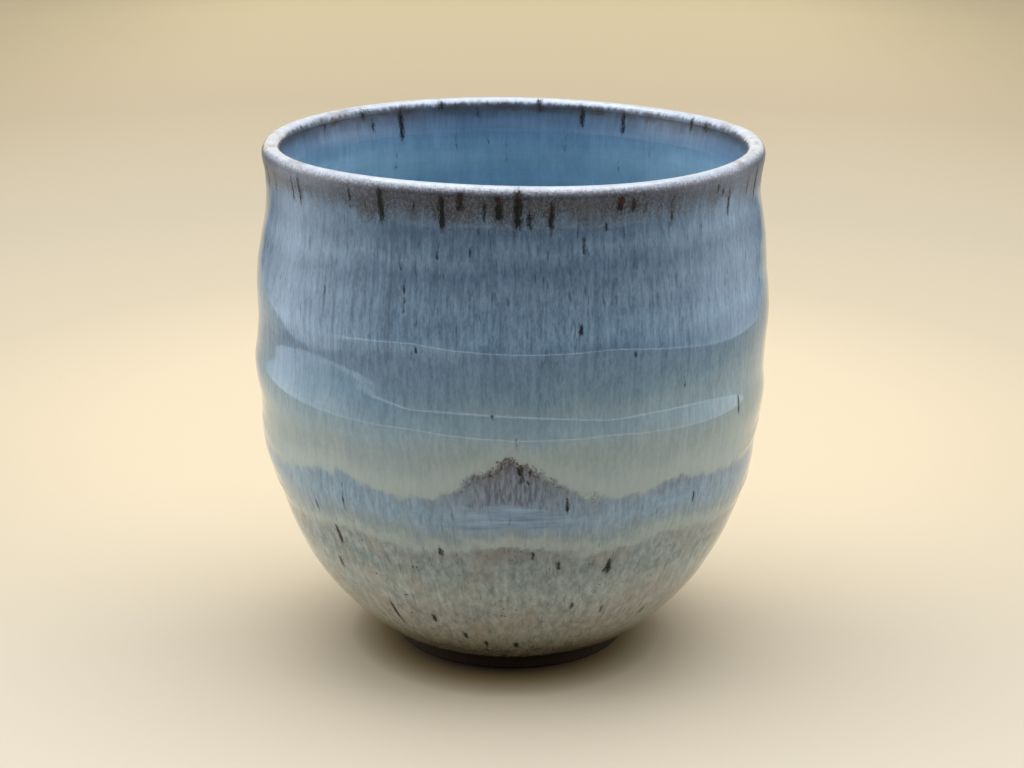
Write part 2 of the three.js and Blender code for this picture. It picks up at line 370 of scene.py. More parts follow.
def cusp_share(angle):
    """How strongly iron gathers under each cusp of the run lines: most at the front."""
    change = (1 + np.sin(OTHER_CUSP_TURNS * angle_from_front(angle) + OTHER_CUSP_START)) / 2
    return np.maximum(front_cusp(angle), OTHER_CUSP_IRON * lobe_share(angle) * change)


def upper_run_height(angle):
    return UPPER_RUN_HEIGHT + UPPER_LOBE_RISE * lobe_share(angle) + FRONT_CUSP_RISE * front_cusp(angle)


def lower_run_height(angle):
    return UPPER_RUN_HEIGHT - MIDDLE_DIP_DEPTH + LOWER_LOBE_RISE * lobe_share(angle)


# Small relief

def soft_waves(angle, height, seed, count, most_turns, longest, shortest):
    """Seeded sum of waves that close round the axis, of about unit size."""
    draw = np.random.default_rng(seed)
    total = 0
    for _ in range(count):
        turns = draw.integers(0, most_turns + 1)
        length = draw.uniform(shortest, longest) * draw.choice([-1, 1])
        start = draw.uniform(0, TURN)
        total = total + np.sin(turns * angle + TURN * height / length + start)
    return total / math.sqrt(count / 2)


def throwing_lines(angle, height):
    """Fine spiral lines left by the fingers, stronger in some places than in others."""
    total = 0
    for step, pitch in enumerate(LINE_PITCHES):
        waves = soft_waves(angle, height, seed=LINE_SEED + step, **LINE_WAVES)
        strength = 1 + LINE_UNEVENNESS * waves
        total = total + strength * np.sin(TURN * height / pitch + (step + 1) * angle)
    return LINE_HEIGHT * total


def outside_relief(angle, height, above_upper, above_lower):
    """Wobble of the glaze, throwing lines, grooves beside the ridge and a bead above each run line."""
    wobble = WOBBLE_HEIGHT * soft_waves(angle, height, **WOBBLE_WAVES)
    grooves = along_ridge(angle, height, GROOVE_DEPTHS, GROOVE_ABOVE_CREST, GROOVE_SPREAD)
    beads = sum(
        np.exp(-((above - RUN_BEAD_SPREAD) / RUN_BEAD_SPREAD) ** 2) for above in (above_upper, above_lower)
    )
    return wobble + throwing_lines(angle, height) - grooves + RUN_BEAD_HEIGHT * beads


def hem_rounding(distance):
    """How far the face of the lowest coat sinks as it rounds off at its hem."""
    share = np.clip(1 - distance / GLAZE_THICKNESS, 0, 1)
    return GLAZE_THICKNESS * (1 - np.sqrt(1 - share ** 2))


# Iron marks

def back_marks():
    """Marks on the side that the photograph doesn't show, drawn like the ones at the front."""
    draw = np.random.default_rng(BACK_MARK_SEED)
    marks = []
    for _ in range(BACK_MARK_COUNT):
        tops, lengths = BACK_LIP if draw.random() < BACK_LIP_SHARE else BACK_WALL
        ranges = (BACK_DEGREES, tops, lengths, BACK_HALF_WIDTHS, BACK_STRENGTHS)
        marks.append(tuple(draw.uniform(*span) for span in ranges))
    return marks


def mark_field(angle, height, marks):
    """Soft fields of iron, of rust at the top of drips and of stain about them."""
    iron = rust = stain = 0
    turned = angle_from_front(angle)
    for degrees, top, length, half_width, strength in marks:
        away = wrapped(turned - math.radians(degrees))
        across = RIM_RADIUS * away / half_width
        down = (top - length / 2 - height) / (length / 2 + half_width)
        mark = strength * np.exp(-MARK_SIDE_FADE * across ** 2 - down ** 4)
        iron = np.maximum(iron, mark)
        rusty = strength > RUST_LEAST_STRENGTH and any(low < top < high for low, high in RUST_TOPS)
        rust = np.maximum(rust, mark * smoothstep(height, top - RUST_LENGTH, top) * rusty)
        aside = RIM_RADIUS * away / STAIN_HALF_WIDTH
        about = np.exp(-aside ** 2 - (down * length / (length + STAIN_EXTRA_LENGTH)) ** 4)
        stain = np.maximum(stain, strength * about * (top > STAIN_LOWEST_TOP))
    return {"iron": iron, "rust": rust, "stain": stain}


# The continuous surface

def rows_through(lengths, steps):
    """Lengths from the crest for each row and column, in so many steps from each length to the next."""
    rows = [np.zeros((1, COLUMNS))]
    for start, end, count in zip(lengths, lengths[1:], steps):
        share = np.linspace(0, 1, count + 1)[1:, None]
        rows.append((start + (end - start) * share) * np.ones(COLUMNS))
    return np.concatenate(rows)


def round_axis(radius, height, angle):
    return np.stack([radius * np.cos(angle), radius * np.sin(angle), height + 0 * angle], axis=-1)


def along_normals(radius, height, facing_out, depth):
    """Points moved square to their own section rows, outwards for a positive depth."""
    along_radius = np.gradient(radius, axis=0)
    along_height = np.gradient(height, axis=0)
    size = np.hypot(along_radius, along_height)
    moved_radius = radius - facing_out * depth * along_height / size
    moved_height = height + facing_out * depth * along_radius / size
    return moved_radius, moved_height


def lip_wave(angle, run):
    """Slight rise and fall of the lip round the cup."""
    waves = soft_waves(angle, 0 * angle, **LIP_WAVES)
    return LIP_WAVE_HEIGHT * waves * np.exp(-(run / LIP_WAVE_REACH) ** 2)


def face_of_wall(angle, run, moved, above, marks, cusp):
    """Measures of one face of the wall, row by row."""
    radius, height = moved
    return {
        "radius": radius,
        "height": height + lip_wave(angle, run),
        "run": run,
        "above_upper": above[0],
        "above_lower": above[1],
        "cusp": cusp + 0 * run,
        **marks,
    }


def outside_skin(angle):
    """The outside from the crest of the lip to the hem."""
    lines = [OUTSIDE.length_at(line(angle)) for line in (upper_run_height, lower_run_height)]
    stops = [0, OUTSIDE.length_at(LIP_SIDE), *lines, OUTSIDE.length_at(HEM_HEIGHT)]
    run = rows_through(stops, (LIP_ROWS, UPPER_ROWS, MIDDLE_ROWS, LOWER_ROWS))
    radius, height = OUTSIDE.point_at(run)
    above = [line - run for line in lines]
    relief = outside_relief(angle, height, *above) * smoothstep(run, *RELIEF_FROM_LIP)
    relief = relief - hem_rounding(run[-1] - run)
    moved = along_normals(radius + ridge_swell(angle, height), height, 1, relief)
    marks = mark_field(angle, height, OUTSIDE_MARKS + back_marks())
    return face_of_wall(angle, run, moved, above, marks, cusp_share(angle))


def inside_skin(angle):
    """The inside from the crest of the lip to the middle of the floor."""
    run = rows_through([0, INSIDE.length_at(LIP_SIDE), INSIDE.length[-1]], (LIP_ROWS, INSIDE_ROWS))
    radius, height = INSIDE.point_at(run)
    lines = (UPPER_RUN_HEIGHT, UPPER_RUN_HEIGHT - MIDDLE_DIP_DEPTH)
    above = [INSIDE.length_at(line) - run for line in lines]
    fade = smoothstep(radius, *RELIEF_FROM_AXIS)
    relief = throwing_lines(angle, height) * smoothstep(run, *RELIEF_FROM_LIP) * fade
    moved = along_normals(radius + ridge_swell(angle, height), height, -1, relief)
    moved[0][-1] = 0
    marks = mark_field(angle, height, INSIDE_MARKS)
    return face_of_wall(angle, run, moved, above, marks, 0 * angle)


def build_skin():
    """Places, facings and measures of the whole glazed surface, and the rows where its coats meet."""
    angle = COLUMN_ANGLES[None, :]
    outside = outside_skin(angle)
    inside = inside_skin(angle)
    skin = {key: np.concatenate([inside[key][::-1], outside[key][1:]]) for key in outside}
    skin["angle"] = np.broadcast_to(angle, skin["radius"].shape)
    skin["place"] = round_axis(skin["radius"], skin["height"], angle)
    skin["facing"] = facings(skin["place"])
    crest = len(inside["run"]) - 1
    upper = crest + LIP_ROWS + UPPER_ROWS
    rows = {"crest": crest, "upper": upper, "lower": upper + MIDDLE_ROWS, "hem": len(skin["run"]) - 1}
    return skin, rows


def facings(place):
    along = np.gradient(place, axis=0)
    around = np.roll(place, -1, axis=1) - np.roll(place, 1, axis=1)
    facing = np.cross(along, around)
    facing[0] = (0, 0, 1)
    return facing / np.linalg.norm(facing, axis=-1, keepdims=True)


# Meshes swept round the axis

def swept_faces(rings, on_axis):
    """Faces between rings of corners. The rings close on themselves, or start and end at single points."""
    first = int(on_axis)
    whole = rings - 2 * first
    corner = first + np.arange(whole * COLUMNS).reshape(whole, COLUMNS)
    upper = corner[:-1] if on_axis else corner
    lower = corner[1:] if on_axis else np.roll(corner, -1, axis=0)
    turned_upper = np.roll(upper, -1, axis=1)
    turned_lower = np.roll(lower, -1, axis=1)
    faces = np.stack([upper, lower, turned_lower, turned_upper], axis=-1).reshape(-1, 4).tolist()
    if on_axis:
        end = first + whole * COLUMNS
        start_ring, end_ring = corner[0], corner[-1]
        faces += [[0, a, b] for a, b in zip(start_ring, np.roll(start_ring, -1))]
        faces += [[a, end, b] for a, b in zip(end_ring, np.roll(end_ring, -1))]
    return faces


def on_rings(values, on_axis):
    """Values of whole rings as one list of corners, with one corner for a ring that is a point."""
    if not on_axis:
        return values.reshape(-1, *values.shape[2:])
    inner = values[1:-1].reshape(-1, *values.shape[2:])
    return np.concatenate([values[:1, 0], inner, values[-1:, 0]])


def placed(name, data):
    """An object of the scene that holds a mesh, a lamp or a camera."""
    holder = bpy.data.objects.new(name, data)
    bpy.context.scene.collection.objects.link(holder)
    return holder


def swept_piece(name, places, on_axis):
    mesh = bpy.data.meshes.new(name)
    mesh.from_pydata(on_rings(places, on_axis) * MM, [], swept_faces(len(places), on_axis))
    mesh.polygons.foreach_set("use_smooth", np.ones(len(mesh.polygons), bool))
    return placed(name, mesh)


def give_values(piece, name, values):
    """Stores a number, or a vector of three, at each corner of a piece for its material to read."""
    vector = values.ndim == 2
    kind = "FLOAT_VECTOR" if vector else "FLOAT"
    attribute = piece.data.attributes.new(name, kind, "POINT")
    attribute.data.foreach_set("vector" if vector else "value", values.astype(np.float32).ravel())


def back_rows(first, last):
    """Rows for a surface that is hidden, fewer than on the face of a coat."""
    return np.append(np.arange(first, last, BACK_ROW_STEP), last)


def coat(name, skin, first, last, on_axis=False):
    """A closed shell of glaze between two rows of the surface: its face, and its back against the clay."""
    front = np.arange(first, last + 1)
    back = back_rows(first, last)[::-1]
    behind = skin["place"] - GLAZE_THICKNESS * skin["facing"]
    places = np.concatenate([skin["place"][front], behind[back]])
    facing = np.concatenate([skin["facing"][front], -skin["facing"][back]])
    both = np.concatenate([front, back])
    piece = swept_piece(name, places, on_axis)
    flow = round_axis(RIM_RADIUS, skin["run"][both], skin["angle"][both])
    give_values(piece, "flow", on_rings(flow, on_axis))
    for key in ("run", "above_upper", "above_lower", "iron", "rust", "stain", "cusp", "height"):
        give_values(piece, key, on_rings(skin[key][both], on_axis))
    piece.data.normals_split_custom_set_from_vertices(on_rings(facing, on_axis))
    return piece


def arc(middle_radius, middle_height, size, start_degrees, end_degrees):
    turn = np.radians(np.linspace(start_degrees, end_degrees, ARC_STEPS + 1))
    return np.stack([middle_radius + size * np.cos(turn), middle_height + size * np.sin(turn)], axis=1)


def foot_points():
    """Foot ring from the root of the wall, round its two edges and over the recess to the axis."""
    corner = FOOT_EDGE_ROUND
    outer = FOOT_RADIUS - corner
    inner = FOOT_RADIUS - FOOT_RING_WIDTH + corner
    recess_edge = FOOT_RADIUS - FOOT_RING_WIDTH - FOOT_RECESS_DRAFT
    flat_radii = np.linspace(outer, inner, FOOT_FLAT_STEPS + 1)[1:-1]
    flat = np.stack([flat_radii, 0 * flat_radii], axis=1)
    recess_radii = np.linspace(recess_edge - corner, 0, RECESS_POINTS)
    recess = np.stack([recess_radii, np.full(RECESS_POINTS, FOOT_RECESS)], axis=1)
    draft_share, height_share = RECESS_WALL_SHARES
    return np.concatenate([
        [(FOOT_RADIUS, FOOT_HEIGHT * share) for share in FOOT_SIDE_SHARES],
        arc(outer, corner, corner, 0, -90),
        flat,
        arc(inner, corner, corner, -90, -180),
        [(inner - corner - draft_share * FOOT_RECESS_DRAFT, height_share * FOOT_RECESS)],
        recess,
    ])


def clay(skin):
    """The thrown clay under the coats, with the bare foot ring and the recess inside it."""
    depth = GLAZE_THICKNESS + BOND_GAP
    covered = (skin["place"] - depth * skin["facing"])[back_rows(0, len(skin["run"]) - 1)]
    covered[0, :, :2] = 0
    points = foot_points()
    in_recess = points[:, 0] < FOOT_RADIUS - FOOT_RING_WIDTH
    turning = TURNING_HEIGHT * np.sin(TURN * points[:, 0] / TURNING_PITCH) * in_recess
    height = points[:, 1] + turning
    foot = round_axis(points[:, :1], height[:, None], COLUMN_ANGLES[None, :])
    return swept_piece("clay_body", np.concatenate([covered, foot]), True)


# Materials

def colour(red, green, blue):
    """A colour written as on a screen, 0 to 255, as the numbers that shaders use."""
    shares = np.array([red, green, blue]) / 255
    linear = np.where(shares <= 0.04045, shares / 12.92, ((shares + 0.055) / 1.055) ** 2.4)
    return (*linear.tolist(), 1)


class Graph:
    """Adds nodes to one material or world and links them."""

    def __init__(self, owner):
        self.owner = owner
        owner.use_nodes = True
        self.nodes = owner.node_tree.nodes
        self.links = owner.node_tree.links
        self.nodes.clear()

    def add(self, kind, inputs=None, **settings):
        node = self.nodes.new(kind)
        for key, value in settings.items():
            setattr(node, key, value)
        for key, value in (inputs or {}).items():
            self.feed(node.inputs[key], value)
        return node

    def feed(self, socket, value):
        if isinstance(value, bpy.types.NodeSocket):
            self.links.new(value, socket)
        else:
            socket.default_value = value

    def value(self, name, output="Fac"):
        return self.add("ShaderNodeAttribute", attribute_name=name).outputs[output]

    def math(self, operation, first, second=0.0, third=0.0):
        return self.add("ShaderNodeMath", {0: first, 1: second, 2: third}, operation=operation).outputs[0]

    def vector_math(self, operation, *vectors, output="Vector"):
        node = self.add("ShaderNodeVectorMath", dict(enumerate(vectors)), operation=operation)
        return node.outputs[output]

    def parts(self, vector):
        return self.add("ShaderNodeSeparateXYZ", {"Vector": vector}).outputs

    def product(self, *values):
        total = values[0]
        for value in values[1:]:
            total = self.math("MULTIPLY", total, value)
        return total

    def weighted(self, parts):
        """Sum of values, each taken so many times."""
        total = 0.0
        for value, weight in parts:
            total = self.math("MULTIPLY_ADD", value, weight, total)
        return total

    def centred(self, noise, size):
        """Noise about zero, so many units from its lowest to its highest."""
        return self.product(self.math("SUBTRACT", noise, 0.5), size)

    def noise(self, vector, around, along, detail=2.0, roughness=0.5):
        """Even noise of two scales, round the cup and along the flow, spread to run from about 0 to 1."""
        place = self.vector_math("MULTIPLY", vector, (around, around, along))
        inputs = {"Vector": place, "Scale": 1.0, "Detail": detail, "Roughness": roughness}
        found = self.add("ShaderNodeTexNoise", inputs).outputs["Fac"]
        return self.step(found, 0.25, 0.75, "LINEAR")

    def strong_noise(self, vector, around, along, detail=2.0, roughness=0.5, cut=0.2):
        """Noise with its lowest and highest shares cut to 0 and 1."""
        return self.step(self.noise(vector, around, along, detail, roughness), cut, 1 - cut, "LINEAR")

    def step(self, value, start, end, ease="SMOOTHSTEP"):
        """0 up to start, 1 from end on, and eased between them."""
        inputs = {"Value": value, "From Min": start, "From Max": end}
        return self.add("ShaderNodeMapRange", inputs, interpolation_type=ease).outputs["Result"]

    def band(self, value, start, full, still_full, end):
        """1 from full to still_full, and eased to 0 at start and end."""
        rise = self.step(value, start, full)
        fall = self.step(value, still_full, end)
        return self.product(rise, self.math("SUBTRACT", 1.0, fall))

    def between(self, share, first, second):
        inputs = {"Value": share, "To Min": first, "To Max": second}
        return self.add("ShaderNodeMapRange", inputs).outputs["Result"]

    def mix(self, share, first, second):
        node = self.add("ShaderNodeMix", data_type="RGBA")
        self.feed(node.inputs["Factor"], share)
        colour_inputs = [socket for socket in node.inputs if socket.type == "RGBA"]
        self.feed(colour_inputs[0], first)
        self.feed(colour_inputs[1], second)
        return next(socket for socket in node.outputs if socket.type == "RGBA")

    def ramp(self, value, stops):
        """Colours at places, blended from the first to the last."""
        low, high = stops[0][0], stops[-1][0]
        node = self.add("ShaderNodeValToRGB", {"Fac": self.step(value, low, high, "LINEAR")})
        elements = node.color_ramp.elements
        while len(elements) < len(stops):
            elements.new(0.5)
        for element, (place, shade) in zip(elements, stops):
            element.position = (place - low) / (high - low)
            element.color = shade
        return node.outputs["Color"]

    def finish(self, shader, output="ShaderNodeOutputMaterial"):
        self.links.new(shader.outputs[0], self.add(output).inputs["Surface"])
        return self.owner


# Bands of the glaze: a place, the shade there, and how far its thin and thick streaks lie to either side
RIM_BANDS = [
    (1.8, (68, 68, 80), 38), (3.4, (47, 54, 70), 36), (4.7, (53, 69, 90), 36), (6, (62, 84, 110), 36),
    (7.5, (73, 99, 128), 37), (10, (92, 121, 154), 29),
]
UPPER_BANDS = [
    (41, (148, 166, 174), 10), (46, (138, 156, 165), 12), (50, (130, 156, 173), 15),
    (53, (120, 146, 166), 18), (56, (97, 130, 156), 21), (60, (90, 122, 154), 23), (62, (86, 117, 151), 28),
    (65, (104, 137, 169), 31), (68.5, (95, 124, 156), 30), (71.5, (96, 126, 156), 31),
    (75.5, (77, 104, 135), 31), (78.5, (96, 125, 155), 31), (82, (70, 96, 126), 30),
]
MIDDLE_BANDS = [
    (0, (139, 155, 160), 16), (1.6, (141, 157, 164), 17), (3.2, (130, 148, 160), 19),
    (5, (124, 148, 172), 24), (7, (122, 149, 174), 26), (12, (120, 142, 164), 25),
]
LOWER_BANDS = [
    (3, (82, 78, 64), 28), (6, (94, 90, 76), 29), (8.5, (119, 122, 111), 30), (12, (132, 136, 130), 34),
    (16, (135, 140, 138), 36), (20, (139, 151, 152), 35), (25, (118, 133, 138), 40),
    (30, (129, 142, 148), 37),
]
LINER_BANDS = [
    (8, (152, 190, 210), 23), (78, (149, 187, 210), 22), (80.5, (140, 180, 208), 22),
    (82.5, (118, 156, 190), 22), (85, (96, 128, 162), 22), (87, (72, 90, 113), 25),
]
LIP_GREY = colour(186, 196, 214)
LIP_PALE = colour(214, 226, 246)
LIP_TAN = colour(140, 124, 118)
LIP_STAIN = colour(26, 24, 33)
RUN_MAUVE = colour(92, 86, 86)
LOWER_WARM = colour(148, 136, 122)
RUN_CREAM = colour(171, 182, 179)
CUSP_MAUVE_THIN = colour(64, 71, 85)
CUSP_MAUVE_THICK = colour(121, 133, 156)
POOL_BLUE_THIN = colour(58, 87, 127)
POOL_BLUE_THICK = colour(162, 193, 225)
BAND_TILT = 2.4
GLAZE_ROUGHNESS = {"liner_glaze": 0.05, "upper_glaze": 0.04, "middle_glaze": 0.05, "lower_glaze": 0.1}

# Where effects start, are full, are still full and end: lengths above a run line, or down from the crest
UPPER_WASH = (-4, -1, -0.3, 0.5)
LOWER_WASH = (-4, -0.8, -0.2, 0.6)
UPPER_SPECKS = (-2.4, -0.5, 0, 1.2)
LOWER_SPECKS = (-3, -0.8, -0.2, 1)
UPPER_CREAM = (-0.6, 0.6, 1.2, 5)
LOWER_CREAM = (-0.6, 0.6, 1, 3)
POOL_DEPTHS = (3.6, 5.2, 7.4, 9)
DULL_UNDER_LIP = (1.5, 3, 6, 9)
LINER_IRON_LINE = (1.4, 2, 2.6, 3.6)

# Iron in the glaze
IRON_BLACK = colour(14, 14, 15)
IRON_OLIVE = colour(34, 38, 38)
IRON_RUST = colour(64, 27, 14)
IRON_BROWN = colour(52, 42, 36)
BLUE_DASH = colour(26, 36, 58)

# Clay colours: the clay's own dark brown, kept darker still as painted shade round the foot ring
CLAY_DARK = colour(30, 24, 20)
CLAY_LIGHT = colour(46, 36, 29)
CLAY_GROG = colour(10, 8, 7)


def streaks(graph, flow):
    """Share of thick glaze, from fur, grain, runs and the rings of throwing, and the fur by itself."""
    fur = graph.strong_noise(flow, 1.8, 0.45, 2, 0.6)
    grain = graph.strong_noise(flow, 3.4, 1.5, 1)
    runs = graph.strong_noise(flow, 0.9, 0.08, 3, 0.6)
    rings = graph.noise(flow, 0.025, 0.22, 4, 0.65)
    return graph.weighted([(fur, 0.36), (grain, 0.17), (runs, 0.31), (rings, 0.16)]), fur


def banded(graph, value, bands, share):
    """Shades blended from band to band, dark where the glaze is thin and light where it is thick."""
    thin = [(place, colour(*(part - spread for part in shade))) for place, shade, spread in bands]
    thick = [(place, colour(*(part + spread for part in shade))) for place, shade, spread in bands]
    return graph.mix(share, graph.ramp(value, thin), graph.ramp(value, thick))


def lip_shade(graph, flow):
    """Pale, softly mottled glaze on the lip, with tan patches towards its left and right sides."""
    shade = graph.mix(graph.noise(flow, 0.7, 0.7, 3, 0.55), LIP_GREY, LIP_PALE)
    tan = graph.step(graph.noise(flow, 0.14, 0.3, 4, 0.6), 0.45, 0.9)
    ends = graph.step(graph.math("ABSOLUTE", graph.parts(flow)["X"]), 18, 38)
    return graph.mix(graph.product(tan, ends, 0.75), shade, LIP_TAN)


def upper_shade(graph, flow, tilted, share):
    """Pale lip, a dark speckled break under it, streaked blue, and cream towards the lower edge."""
    run = graph.value("run")
    ragged = graph.centred(graph.noise(flow, 1.2, 0.12, 3, 0.6), 3)
    ragged = graph.math("ADD", ragged, graph.centred(graph.noise(flow, 0.22, 0.1, 3, 0.6), 5))
    place = graph.math("ADD", run, graph.product(ragged, graph.step(run, 2, 6)))
    speckle = graph.strong_noise(flow, 2.7, 2.2, 3, 0.65, cut=0.25)
    rim = banded(graph, place, RIM_BANDS, graph.weighted([(share, 0.55), (speckle, 0.45)]))
    patches = graph.product(graph.step(graph.noise(flow, 0.2, 0.15, 4, 0.65), 0.4, 0.8), 0.4)
    stain = graph.math("MAXIMUM", graph.value("stain"), patches)
    stain = graph.product(stain, graph.step(place, 9, 5))
    rim = graph.mix(graph.product(stain, graph.step(speckle, 1, 0.25), 0.92), rim, LIP_STAIN)
    dithered = graph.math("ADD", run, graph.centred(speckle, 0.6))
    rim = graph.mix(graph.step(dithered, 0.6, 2.3), lip_shade(graph, flow), rim)
    wall = banded(graph, tilted, UPPER_BANDS, share)
    return graph.mix(graph.step(place, 4.5, 10), rim, wall)


def middle_shade(graph, flow, above_lower, share, fur):
    """Lavender blue, mauve under the cusps of the upper run line, with pooled blue below the front one."""
    cusp = graph.value("cusp")
    shade = banded(graph, above_lower, MIDDLE_BANDS, share)
    mauve = graph.mix(fur, CUSP_MAUVE_THIN, CUSP_MAUVE_THICK)
    shade = graph.mix(graph.product(graph.step(above_lower, 6.5, 9), cusp, 0.85), shade, mauve)
    level = graph.noise(flow, 0.09, 0.9, 3, 0.6)
    pool = graph.mix(level, POOL_BLUE_THIN, POOL_BLUE_THICK)
    depth = graph.band(above_lower, *POOL_DEPTHS)
    return graph.mix(graph.product(depth, cusp, 0.8), shade, pool)


def run_stains(graph, flow, above_upper, above_lower, shade):
    """Iron along each run line, most at the front cusp: a mauve wash below it, and brown specks in that."""
    rightward = graph.step(graph.parts(flow)["X"], -25, 15)
    places = graph.product(graph.step(graph.noise(flow, 0.14, 0.05, 2), 0.3, 0.95), rightward)
    strength = graph.math("MAXIMUM", graph.value("cusp"), graph.product(places, 0.5))
    wash = graph.math("MAXIMUM", graph.band(above_upper, *UPPER_WASH), graph.band(above_lower, *LOWER_WASH))
    shade = graph.mix(graph.product(wash, strength, 0.4), shade, RUN_MAUVE)
    upper = graph.band(above_upper, *UPPER_SPECKS)
    lower = graph.product(graph.band(above_lower, *LOWER_SPECKS), 0.38)
    both = graph.product(graph.math("MAXIMUM", upper, lower), strength)
    dense = graph.math("MULTIPLY_ADD", both, 0.32, graph.noise(flow, 2.3, 1.9, 4, 0.7))
    specks = graph.product(graph.step(dense, 0.66, 0.98), graph.step(both, 0.05, 0.5))
    return graph.mix(graph.product(specks, 0.85), shade, IRON_BROWN)


def dashes(graph, flow, tilted, above_upper):
    """Dark dashes, short and long in the blue of the upper coat and a few short ones lower down."""
    found = graph.step(graph.noise(flow, 1.5, 0.3, 2, 0.6), 0.7, 0.95)
    high = graph.product(graph.step(tilted, 52, 70), graph.step(graph.value("run"), 4, 8))
    low = graph.step(above_upper, 0, -2)
    short = graph.product(found, graph.weighted([(high, 0.55), (low, 0.35)]))
    long = graph.step(graph.noise(flow, 0.75, 0.045, 3, 0.6), 0.55, 0.85)
    return graph.math("MAXIMUM", short, graph.product(long, high, 0.34))


def low_specks(graph, flow, above_lower):
    """Small specks of iron in the lowest coat."""
    specks = graph.step(graph.noise(flow, 0.8, 0.6, 2, 0.6), 0.88, 0.98)
    return graph.product(specks, graph.step(above_lower, 1, -2), 0.85)


def iron_marks(graph, flow, shade):
    """Drips and spots of iron over a shade: black, olive where thin, and rusty at the top of drips."""
    iron = graph.value("iron")
    ragged = graph.centred(graph.noise(flow, 2.6, 1, 3, 0.7), 1)
    field = graph.math("MULTIPLY_ADD", ragged, graph.step(iron, 0.05, 0.4), iron)
    marks = graph.step(field, 0.16, 0.8)
    patchy = graph.math("ADD", graph.value("rust"), graph.centred(graph.noise(flow, 1.4, 0.8, 2), 0.9))
    body = graph.mix(graph.step(field, 0.4, 0.9), IRON_OLIVE, IRON_BLACK)
    body = graph.mix(graph.product(graph.step(patchy, 0.5, 0.8), 0.75), body, IRON_RUST)
    return graph.mix(graph.product(marks, 0.95), shade, body), marks


def glaze_shader(graph, name, shade, fur, marks):
    """Glassy coat, broken by the fur of the glaze, and dull over iron and under the lip."""
    patches = graph.noise(graph.value("flow", "Vector"), 0.3, 0.2, 3, 0.6)
    under_lip = graph.band(graph.value("run"), *DULL_UNDER_LIP)
    dull = graph.weighted([(marks, 0.3), (patches, 0.05), (under_lip, 0.25)])
    relief = graph.weighted([(fur, 0.5), (patches, 0.5)])
    bump = graph.add("ShaderNodeBump", {"Height": relief, "Strength": 0.18, "Distance": 0.00003})
    shader = graph.add("ShaderNodeBsdfPrincipled", {
        "Base Color": shade,
        "Roughness": graph.math("ADD", dull, GLAZE_ROUGHNESS[name]),
        "Specular IOR Level": graph.between(marks, 0.5, 0.15),
        "Normal": bump.outputs["Normal"],
    })
    return graph.finish(shader)


def run_glaze(name):
    """The streaked glaze of the outside. Its coats read the same bands, so they meet without a seam."""
    graph = Graph(bpy.data.materials.new(name))
    flow = graph.value("flow", "Vector")
    share, fur = streaks(graph, flow)
    tilt = graph.product(graph.parts(flow)["X"], BAND_TILT / RIM_RADIUS)
    tilted = graph.math("SUBTRACT", graph.value("height"), tilt)
    tilted = graph.math("ADD", tilted, graph.centred(graph.noise(flow, 0.12, 0.1, 3), 3))
    wander = graph.centred(graph.noise(flow, 0.3, 0.25, 4, 0.6), 2.6)
    above_upper = graph.math("ADD", graph.value("above_upper"), wander)
    above_lower = graph.math("ADD", graph.value("above_lower"), wander)

    mottle = graph.strong_noise(flow, 0.7, 0.45, 6, 0.72)
    lower_share = graph.weighted([(share, 0.4), (mottle, 0.6)])
    lower = banded(graph, graph.value("height"), LOWER_BANDS, lower_share)
    warm = graph.step(graph.noise(flow, 0.16, 0.14, 4, 0.65), 0.4, 0.75)
    lower = graph.mix(graph.product(warm, 0.3), lower, LOWER_WARM)
    middle = middle_shade(graph, flow, above_lower, share, fur)
    upper = upper_shade(graph, flow, tilted, share)
    shade = graph.mix(graph.step(above_lower, -1, 1), lower, middle)
    shade = graph.mix(graph.step(above_upper, -0.9, 0.9), shade, upper)
    upper_edge = graph.band(above_upper, *UPPER_CREAM)
    edge = graph.math("MAXIMUM", upper_edge, graph.band(above_lower, *LOWER_CREAM))
    shade = graph.mix(graph.product(edge, 0.3), shade, RUN_CREAM)

    shade = graph.mix(dashes(graph, flow, tilted, above_upper), shade, BLUE_DASH)
    shade = run_stains(graph, flow, above_upper, above_lower, shade)
    shade = graph.mix(low_specks(graph, flow, above_lower), shade, IRON_BROWN)
    shade, marks = iron_marks(graph, flow, shade)
    return glaze_shader(graph, name, shade, fur, marks)


def liner_glaze():
    """The teal-blue coat inside, which runs thin and brown just under the lip."""
    graph = Graph(bpy.data.materials.new("liner_glaze"))
    flow = graph.value("flow", "Vector")
    share, fur = streaks(graph, flow)
    ragged = graph.centred(graph.noise(flow, 1, 0.15, 3, 0.6), 1.6)
    place = graph.math("ADD", graph.value("height"), ragged)
    clouds = graph.strong_noise(flow, 0.12, 0.09, 4, 0.65, cut=0.25)
    rings = graph.strong_noise(flow, 0.02, 0.3, 4, 0.6, cut=0.25)
    mixed = graph.weighted([(share, 0.4), (clouds, 0.3), (rings, 0.3)])
    wall = banded(graph, place, LINER_BANDS, mixed)
    run = graph.math("ADD", graph.value("run"), graph.centred(graph.noise(flow, 1, 0.6, 3, 0.6), 0.8))
    line = graph.product(graph.band(run, *LINER_IRON_LINE), graph.noise(flow, 0.25, 0.2, 3, 0.6))
    shade = graph.mix(graph.step(run, 0.9, 2.2), lip_shade(graph, flow), wall)
    shade = graph.mix(line, shade, IRON_BROWN)
    shade, marks = iron_marks(graph, flow, shade)
    return glaze_shader(graph, "liner_glaze", shade, fur, marks)


